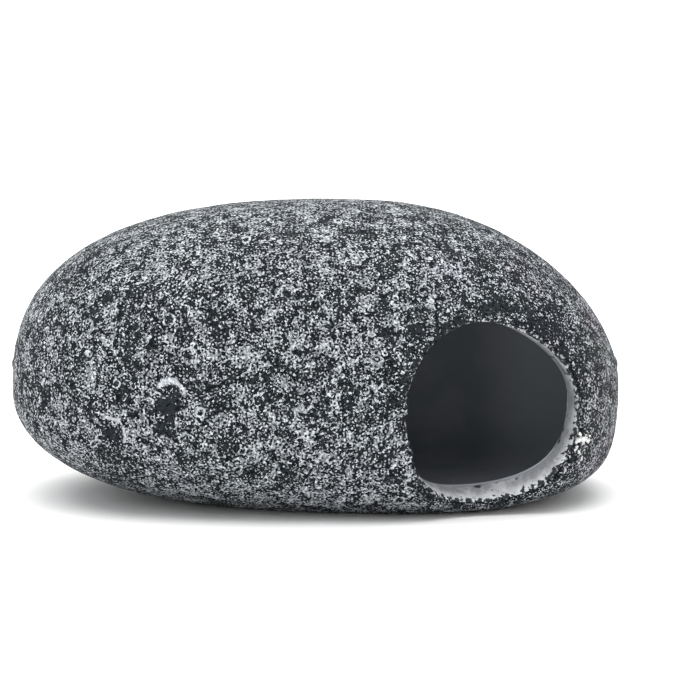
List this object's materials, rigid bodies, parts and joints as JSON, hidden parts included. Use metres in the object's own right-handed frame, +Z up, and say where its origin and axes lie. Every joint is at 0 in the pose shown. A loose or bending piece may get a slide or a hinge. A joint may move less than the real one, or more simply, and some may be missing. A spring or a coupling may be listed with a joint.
{
  "type": "resin cave ornament",
  "caption": "Hollow pebble-shaped aquarium cave with a speckled stone-effect coat, a flat foot and an oval mouth at the front right.",
  "frame": {"origin": "on the floor, under the middle of the pebble's bounding box", "axes": "+X along the pebble's length, to the right seen from the front; +Y towards the back; +Z up. The cave mouth faces the front right, between -Y and +X."},
  "size_m": [0.112, 0.078, 0.055],
  "materials": {
    "cast_resin": "matte",
    "adhesive": "matte",
    "stone_coat": "matte",
    "inner_coat": "matte"
  },
  "bodies": {
    "root": {"lower_shell": "cast_resin", "upper_shell": "cast_resin", "seam_adhesive": "adhesive", "lower_stone_coat": "stone_coat", "upper_stone_coat": "stone_coat", "lower_inner_coat": "inner_coat", "upper_inner_coat": "inner_coat"}
  },
  "joints": []
}
